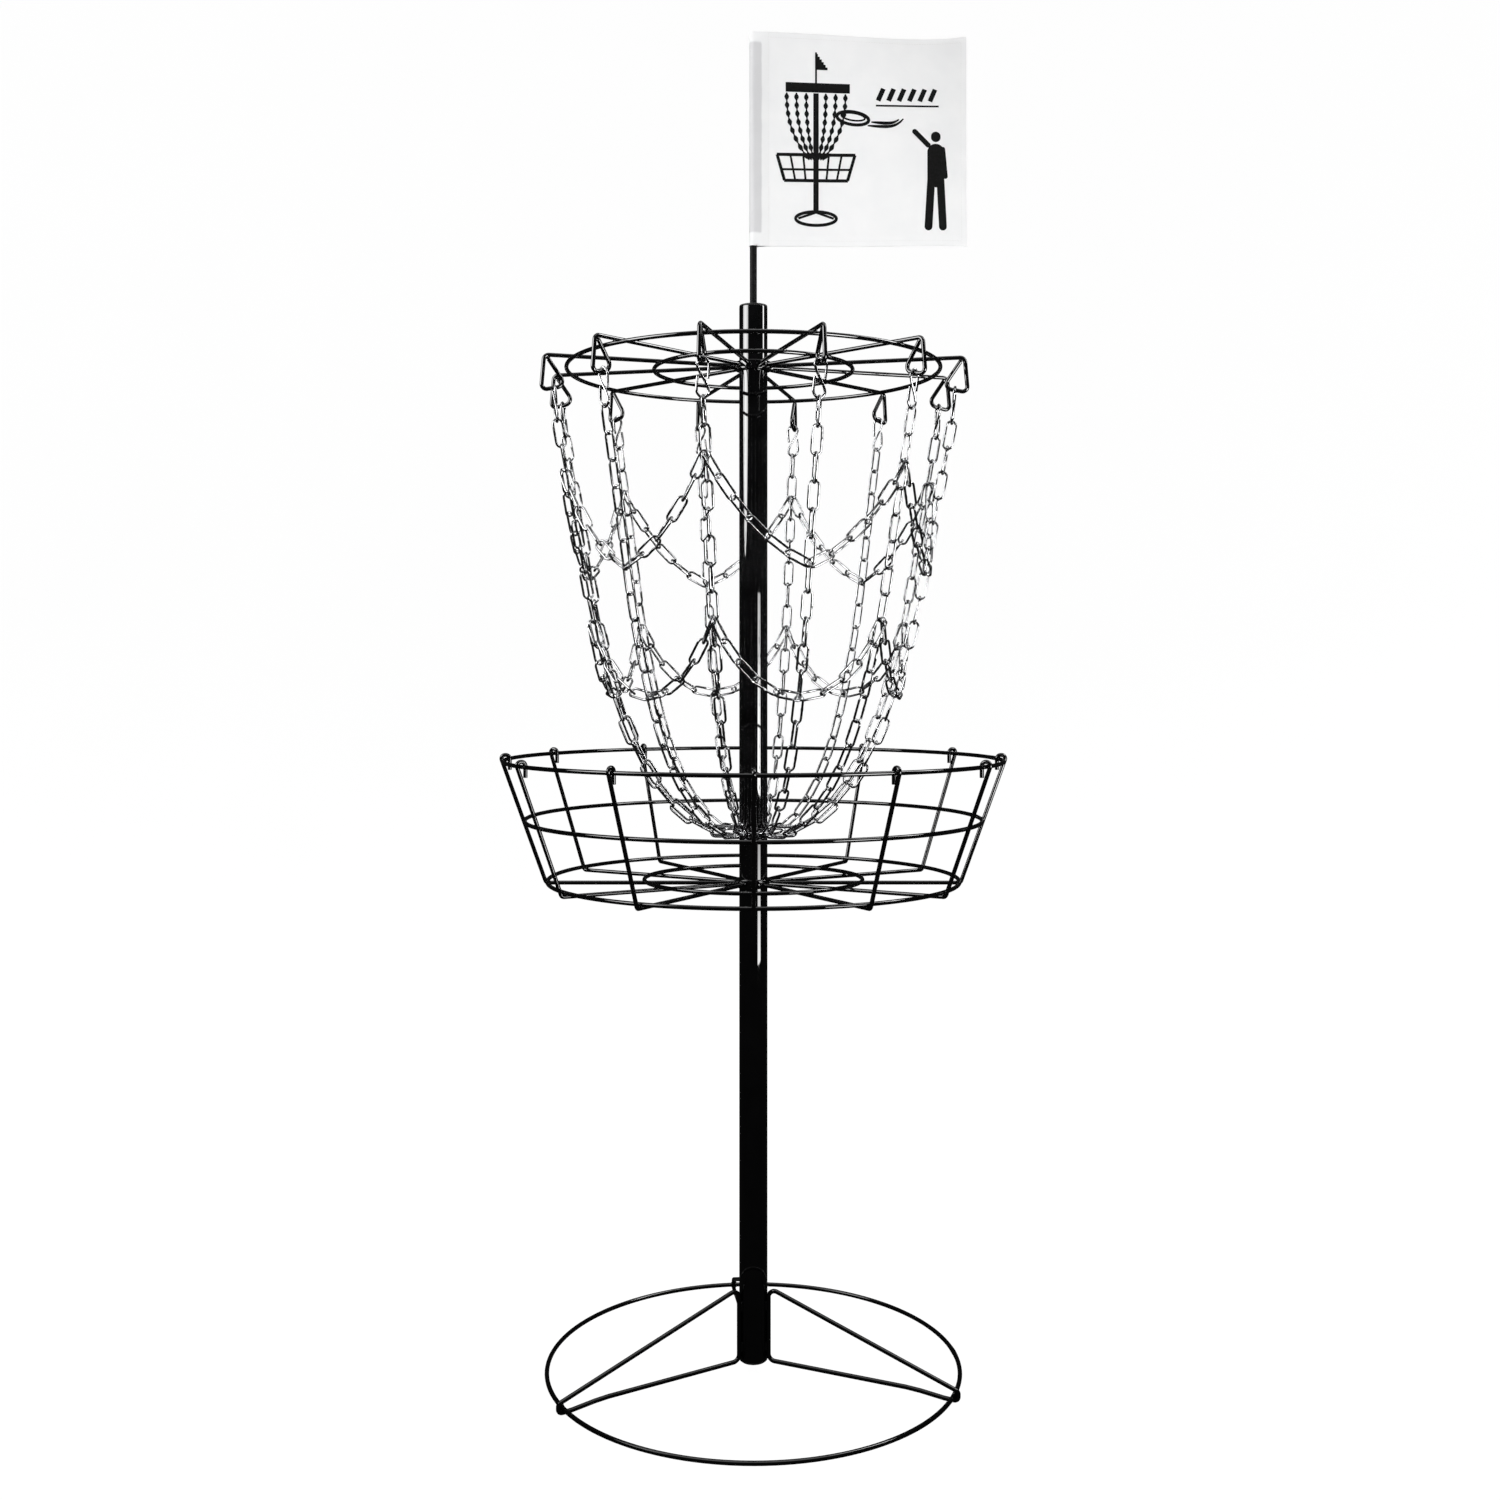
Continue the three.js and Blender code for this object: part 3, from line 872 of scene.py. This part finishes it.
def make_swag(name, body, plan):
    """A ring of chain hung from strand to strand, by turns at a high and at a low joint."""
    shell = Shell()
    length = plan["links"] * PITCH - SWAG_TAKE_UP
    for i in range(SPOKES):
        start = HOLDER_TURN + SPOKE_ANGLE * i
        first, second = (plan["low"], plan["high"]) if i % 2 else (plan["high"], plan["low"])
        a = strand_joint(first, start, SWAG_OFFSET)
        b = strand_joint(second, start + SPOKE_ANGLE, SWAG_OFFSET)
        joints = hanging(a, b, length, plan["links"])
        lay_links(shell, joints, LINK, 45, -90, at(1, 0, start + SPOKE_ANGLE / 2))
    shell.make(name + "_links", body, "zinc_chain", ZINC, [name])


def make_chains():
    hoop = Shell()
    sweep(hoop, circle(HOOP[0], HOOP[1], 72), HOOP_WIRE, closed=True, sides=14)
    hoop.make("chain_hoop_wire", "hoop", "zinc_chain", ZINC, ["chain_hoop"])
    make_strands()
    make_swag("upper_swag", "upper_swag_chain", UPPER_SWAG)
    make_swag("lower_swag", "lower_swag_chain", LOWER_SWAG)


# ---------- flag ----------


def billow(x, z):
    """How far the hanging cloth moves back (y) and down (z) from a flat sheet."""
    share = max(0.0, (x - SEAM_X) / (FLAG_RIGHT - SEAM_X))
    height = (z - FLAG_BOTTOM) / FLAG_HEIGHT
    wave = WAVE * math.sin(x / WAVE_LENGTH + 1.6 * height - 0.6) * share
    curl = CURL * share**2 * math.sin(2.4 * height + 0.5)
    sag = SAG * math.sin(math.pi * (x / FLAG_RIGHT) ** 2)
    return wave + curl, -(sag + CORNER_DROP * share) * height**2.2


def on_flag(x, z, lift=0.0):
    """A point on the flag's front, lifted off it by that much."""
    back, drop = billow(x, z)
    return Vector((x, back - CLOTH / 2 - lift, z + drop))


def flag_section():
    """The cloth's middle line seen from above: free edge, sleeve round the rod, seam."""
    pocket = ROD_RADIUS + 0.35 + CLOTH / 2
    touch = math.degrees(math.acos(pocket / SEAM_X))
    hem = FLAG_RIGHT - HEM - HEM_STEP
    line = [Vector((x, 0)) for x in (FLAG_RIGHT, FLAG_RIGHT - 1, hem + 2 * HEM_STEP, hem)]
    columns = 44
    for i in range(1, columns + 1):
        line.append(Vector((hem + (SEAM_X - hem) * i / columns, 0)))
    steps = 24
    for i in range(steps + 1):
        a = math.radians(-touch - (360 - 2 * touch) * i / steps)
        line.append(Vector((math.cos(a), math.sin(a))) * pocket)
    behind = CLOTH * 1.05
    line.append(Vector((SEAM_X, behind)))
    line.append(Vector((SEAM_X + 5, behind)))
    return line


def flag_levels(rows=48):
    """The heights of the cloth's rows of points, two of them close together where a hem ends."""
    low = FLAG_BOTTOM + HEM + HEM_STEP
    height = FLAG_HEIGHT - 2 * (HEM + HEM_STEP)
    between = [low + height * i / rows for i in range(rows + 1)]
    return [FLAG_BOTTOM, low - 2 * HEM_STEP, *between, FLAG_TOP - HEM + HEM_STEP, FLAG_TOP]


def flag_outline(line, z):
    """The cloth's outline at one height: along one face of it, and back along the other."""
    n = len(line)
    roundness = min(1.0, max(0.12, (FLAG_TOP - 2 - z) / 14))  # the sleeve is flat above the rod
    in_hem = min(z - FLAG_BOTTOM, FLAG_TOP - z) < HEM
    outline = []
    for side, order in ((1, range(n)), (-1, range(n - 1, -1, -1))):
        for i in order:
            way = (line[min(i + 1, n - 1)] - line[max(i - 1, 0)]).normalized()
            across = Vector((way.y, -way.x))
            doubled = in_hem or line[i].x > FLAG_RIGHT - HEM
            thick = CLOTH * (HEM_THICKNESS if doubled else 1.0)
            p = line[i] + across * (side * thick / 2)
            back, drop = billow(line[i].x, z)
            y = p.y * roundness if p.x < SEAM_X else p.y
            outline.append(Vector((p.x, y + back, z + drop)))
    return outline


def make_cloth(line):
    levels = flag_levels()
    points = []
    for z in levels:
        points += flag_outline(line, z)
    sides = 2 * len(line)
    faces = joined_rings(len(levels), sides, False)
    top = (len(levels) - 1) * sides
    for i in range(len(line) - 1):
        j = sides - 1 - i
        faces.append([i + 1, i, j, j - 1])
        faces.append([top + i, top + i + 1, top + j - 1, top + j])
    shell = Shell()
    shell.add(points, faces)
    return shell.make("flag_cloth", "flag", "white_cloth", CLOTH_WHITE, ["flag"], sharp=50)


def make_rod():
    shell = Shell()
    core = 0.3
    section = [(core, ROD_BOTTOM), (ROD_RADIUS, ROD_BOTTOM), (ROD_RADIUS, ROD_TOP), (core, ROD_TOP)]
    lathe(shell, rounded(section, 0.9), 48)
    shell.make("flag_rod_bar", "frame", "black_steel", GLASS_FIBRE, ["flag_rod"])


def make_flag():
    line = flag_section()
    flag = make_cloth(line)
    make_rod()
    stitches = make_stitches()
    printed = make_print()


def make_stitches():
    """Lines of machine stitching along the sleeve's seam and the three hems."""
    seam, edge = SEAM_X + 2.2, FLAG_RIGHT - STITCH_INSET
    low, high = FLAG_BOTTOM + STITCH_INSET, FLAG_TOP - STITCH_INSET
    lines = [
        ((seam, FLAG_BOTTOM + 2), (seam, FLAG_TOP - 2)),
        ((edge, low), (edge, high)),
        ((SEAM_X + 4, low), (edge, low)),
        ((SEAM_X + 4, high), (edge, high)),
    ]
    radii = [radius for _, radius in STITCH_SHAPE]
    shell = Shell()
    for (x0, z0), (x1, z1) in lines:
        count = int(math.hypot(x1 - x0, z1 - z0) / STITCH_PITCH)
        for i in range(count):
            stitch = []
            for share, _ in STITCH_SHAPE:
                t = (i + share) / count
                stitch.append(on_flag(x0 + (x1 - x0) * t, z0 + (z1 - z0) * t, STITCH_LIFT))
            sweep(shell, stitch, radii, sides=6)
    return shell.make("flag_stitching", "flag", "white_cloth", THREAD)


def ribbon(shell, line, widths, closed=False):
    """A printed stroke on the flag's front: a thin layer that follows the cloth."""
    n = len(line)
    points = []
    for i, (p, width) in enumerate(zip(line, widths)):
        before = line[i - 1] if closed or i else line[i]
        after = line[(i + 1) % n] if closed or i < n - 1 else line[i]
        way = (after - before).normalized()
        side = Vector((-way.y, way.x)) * (width / 2)
        for edge, lifts in ((p + side, (PRINT_SUNK, PRINT_LIFT)), (p - side, (PRINT_LIFT, PRINT_SUNK))):
            points += [on_flag(edge.x, edge.y + FLAG_BOTTOM, lift) for lift in lifts]
    faces = joined_rings(n, 4, closed)
    if not closed:
        end = (n - 1) * 4
        faces += [[3, 2, 1, 0], [end, end + 1, end + 2, end + 3]]
    shell.add(points, faces)


def stroke(shell, corners, width, step=7.0):
    """A stroke of even width from corner to corner."""
    for a, b in zip(corners, corners[1:]):
        a, b = Vector(a), Vector(b)
        count = max(1, math.ceil((b - a).length / step))
        line = [a.lerp(b, i / count) for i in range(count + 1)]
        ribbon(shell, line, [width] * len(line))


def oval(shell, centre, rx, rz, width, tilt=0.0, steps=36):
    """A stroke round an ellipse."""
    lean = Matrix.Rotation(math.radians(tilt), 2)
    line = []
    for i in range(steps):
        a = 2 * math.pi * i / steps
        line.append(Vector(centre) + lean @ Vector((rx * math.cos(a), rz * math.sin(a))))
    ribbon(shell, line, [width] * steps, closed=True)


def blob(shell, a, b, width, steps=8):
    """A filled stroke with round ends, such as a head or a limb."""
    a, b = Vector(a), Vector(b)
    length = (b - a).length
    cap = width / 2
    start = []  # distance from a, and the width there
    for i in range(steps + 1):
        turn = math.pi / 2 * i / steps
        start.append((cap - cap * math.cos(turn), max(0.15, width * math.sin(turn))))
    middle = [(cap + (length - width) * i / steps, width) for i in range(1, steps)]
    end = [(length - distance, wide) for distance, wide in reversed(start)]
    stops = start + middle + end
    line = [a.lerp(b, distance / length) for distance, _ in stops]
    ribbon(shell, line, [wide for _, wide in stops])


def print_target(shell, pole):
    """A plain pictogram of a target: pole, base, basket, chains, band and pennant."""
    base, foot, chain_top, band, mast = 37.7, 46, 208, 215.5, 264
    stroke(shell, [(pole, chain_top), (pole, foot)], 7.2)
    stroke(shell, [(pole - 41, band), (pole + 45.5, band)], 13.0)
    stroke(shell, [(pole, band + 5.5), (pole, mast)], 2.6)
    pennant, rows, row, shorter = 242, 6, 3.6, 2.6
    for i in range(rows):
        z = pennant + row * i
        stroke(shell, [(pole + 0.5, z), (pole + 15.5 - shorter * i, z)], 3.7)

    # each chain is a string of beads that draws in towards the pole
    beads, steps = 8, 6
    count = beads * steps
    for k in (-3, -2, -1, 1, 2, 3):
        line = []
        widths = []
        for i in range(count + 1):
            t = i / count
            line.append(Vector((pole + k * (13.2 - 10.2 * t**2.4), chain_top - 91 * t)))
            widths.append(1.7 + 4.6 * math.sin(math.pi * i / steps) ** 2)
        ribbon(shell, line, widths)

    top, middle, bottom = 124, 104, 89
    for z, half, width in ((top, 53.0, 4.4), (middle, 47.5, 3.0), (bottom, 43.0, 4.4)):
        stroke(shell, [(pole - half, z), (pole + half, z)], width)
    for share in (-1, -0.66, -0.33, 0.33, 0.66, 1):
        width = 4.2 if abs(share) == 1 else 2.8
        stroke(shell, [(pole + 52.5 * share, top), (pole + 42.5 * share, bottom)], width)
    oval(shell, (pole, base), 27.5, 9.2, 4.2)
    stroke(shell, [(pole - 24, base), (pole, foot), (pole + 24, base)], 3.2)


def print_disc(shell, x, z):
    """A flying disc, tilted a little, with two lines behind it."""
    tilt = -8
    oval(shell, (x, z), 21.5, 8.8, 4.4, tilt)
    oval(shell, (x + 0.4, z + 2), 16.0, 5.0, 2.4, tilt)
    steps = 12
    for left, right, drop, rise in ((25, 62, -5, 7), (20, 68, -10, 13)):
        line = []
        widths = []
        for i in range(steps + 1):
            share = i / steps
            bend = rise * share**5 - 3 * share
            line.append(Vector((x + left + (right - left) * share, z + drop + bend)))
            widths.append(4.4 - 2.6 * (2 * share - 1) ** 2)
        ribbon(shell, line, widths)


def print_player(shell, x):
    """A plain upright figure with one arm raised."""
    blob(shell, (x, 143), (x, 157.5), 13.0)
    blob(shell, (x, 140.5), (x, 80), 23.0)
    blob(shell, (x - 8, 136), (x - 31, 160), 7.0)
    blob(shell, (x + 9, 136.5), (x + 13, 92), 7.0)
    blob(shell, (x - 6, 96), (x - 10.5, 21), 10.5)
    blob(shell, (x + 6, 96), (x + 9.5, 21), 10.5)


def print_mark(shell, x, z):
    """Slanted bars over a thin line."""
    bars, pitch, slant, height = 6, 14, 7, 17
    for i in range(bars):
        left = x + pitch * i
        stroke(shell, [(left, z), (left + slant, z + height)], 6.5)
    stroke(shell, [(x - 3, z - 7), (x + 82, z - 7)], 2.4)


def make_print():
    """The black print on the flag, placed from its lower edge and the rod's axis."""
    shell = Shell()
    print_target(shell, 84.5)
    print_disc(shell, 134, 175)
    print_player(shell, 246)
    print_mark(shell, 168, 200)
    return shell.make("flag_print", "flag", "white_cloth", INK, sharp=30)


# ---------- camera, light and stage ----------

CAMERA_PLACE = (-0.0045, -2.162, 0.939)  # metres, as for the lights
CAMERA_SHIFT = -0.052  # of the lens, as a share of the sensor's width
SENSOR = 36.0
LENS = 38.5104


def make_camera():
    data = bpy.data.cameras.new("camera")
    data.sensor_width = SENSOR
    data.lens = LENS
    data.shift_y = CAMERA_SHIFT
    data.dof.use_dof = False
    camera = bpy.data.objects.new("camera", data)
    camera.location = CAMERA_PLACE
    camera.rotation_euler = (math.pi / 2, 0, 0)
    bpy.context.scene.collection.objects.link(camera)
    bpy.context.scene.camera = camera


def area_light(name, shape, place, target, size, power, spread=180, shines=True):
    """A softbox. A grid narrows its spread, and glossy pieces mirror it only if it shines."""
    data = bpy.data.lights.new(name, "AREA")
    data.shape = shape
    data.size, data.size_y = size
    data.energy = power
    data.spread = math.radians(spread)
    light = bpy.data.objects.new(name, data)
    light.location = place
    light.rotation_euler = (Vector(target) - Vector(place)).to_track_quat("-Z", "Y").to_euler()
    light.visible_camera = False
    light.visible_glossy = shines
    bpy.context.scene.collection.objects.link(light)


def make_lights():
    """Three gridded softboxes that shine in the paint and the zinc, and two fills for the cloth."""
    pole, flag = (0, 0, 1.3), (0.15, 0, 1.5)
    fill_size = (1.5, 1.5)
    area_light("left_softbox", "ELLIPSE", (-1.45, -0.57, 1.96), (0, 0, 1.6), (1.4, 1.5), 7.6, 80)
    area_light("right_softbox", "RECTANGLE", (1.2, -1.1, 0.76), (0, 0, 1.35), (0.7, 0.72), 2.3, 60)
    area_light("high_softbox", "RECTANGLE", (1.5, 0.05, 2.4), pole, (0.35, 1.3), 3.2, 80)
    area_light("front_fill", "RECTANGLE", (0.5, -2.6, 2.3), flag, fill_size, 33, shines=False)
    area_light("rear_fill", "RECTANGLE", (-0.2, 2.6, 2.1), flag, fill_size, 62, shines=False)


def make_world():
    """A dim studio with a soft white ceiling."""
    world = bpy.data.worlds.new("studio")
    world.use_nodes = True
    nodes, links = world.node_tree.nodes, world.node_tree.links
    bpy.context.scene.world = world
    parts = nodes.new("ShaderNodeSeparateXYZ")
    links.new(nodes.new("ShaderNodeTexCoord").outputs["Generated"], parts.inputs["Vector"])
    ramp = nodes.new("ShaderNodeValToRGB")
    # the sine of the height above the horizon, and the brightness there
    stops = ((0.0, 0.01), (0.55, 0.01), (0.78, 0.04), (0.9, 0.7), (1.0, 0.7))
    for _ in stops[2:]:
        ramp.color_ramp.elements.new(0.5)
    for element, (position, brightness) in zip(ramp.color_ramp.elements, stops):
        element.position = position
        element.color = (*grey(brightness), 1)
    links.new(parts.outputs["Z"], ramp.inputs["Fac"])
    links.new(ramp.outputs["Color"], nodes["Background"].inputs["Color"])


def make_stage():
    """A white floor, bright by itself, that curves up into a wall all round."""
    floor_radius, bend, wall_top, steps, sides = 2600, 1200, 4200, 12, 96
    sunk = 0.4  # the floor lies this far under the feet
    profile = [(0.5, 0), (floor_radius, 0)]
    for i in range(1, steps + 1):
        a = math.pi / 2 * i / steps
        profile.append((floor_radius + bend * math.sin(a), bend - bend * math.cos(a)))
    profile.append((floor_radius + bend, wall_top))
    points = []
    for r, z in profile:
        points += [at(r, z - sunk, 360 * j / sides) * MM for j in range(sides)]
    faces = joined_rings(len(profile), sides, False)
    faces.append(list(range(sides)))
    mesh = bpy.data.meshes.new("studio_floor")
    mesh.from_pydata(points, [], faces)
    mesh.shade_smooth()
    made = Finish("studio_paint", Roughness=0.9, Emission_Color=(1, 1, 1, 1), Emission_Strength=0.98)
    made.colour(grey(0.07), grey(0.09), scale=3.0)
    mesh.materials.append(made.material)
    floor = bpy.data.objects.new("studio_floor", mesh)
    floor.visible_glossy = False
    floor.visible_shadow = False
    floor.visible_diffuse = False
    bpy.context.scene.collection.objects.link(floor)


make_camera()
make_pole()
make_base()
make_basket()
make_holder()
make_chains()
make_flag()
make_world()
make_stage()
make_lights()
bpy.context.scene.view_settings.view_transform = "Standard"
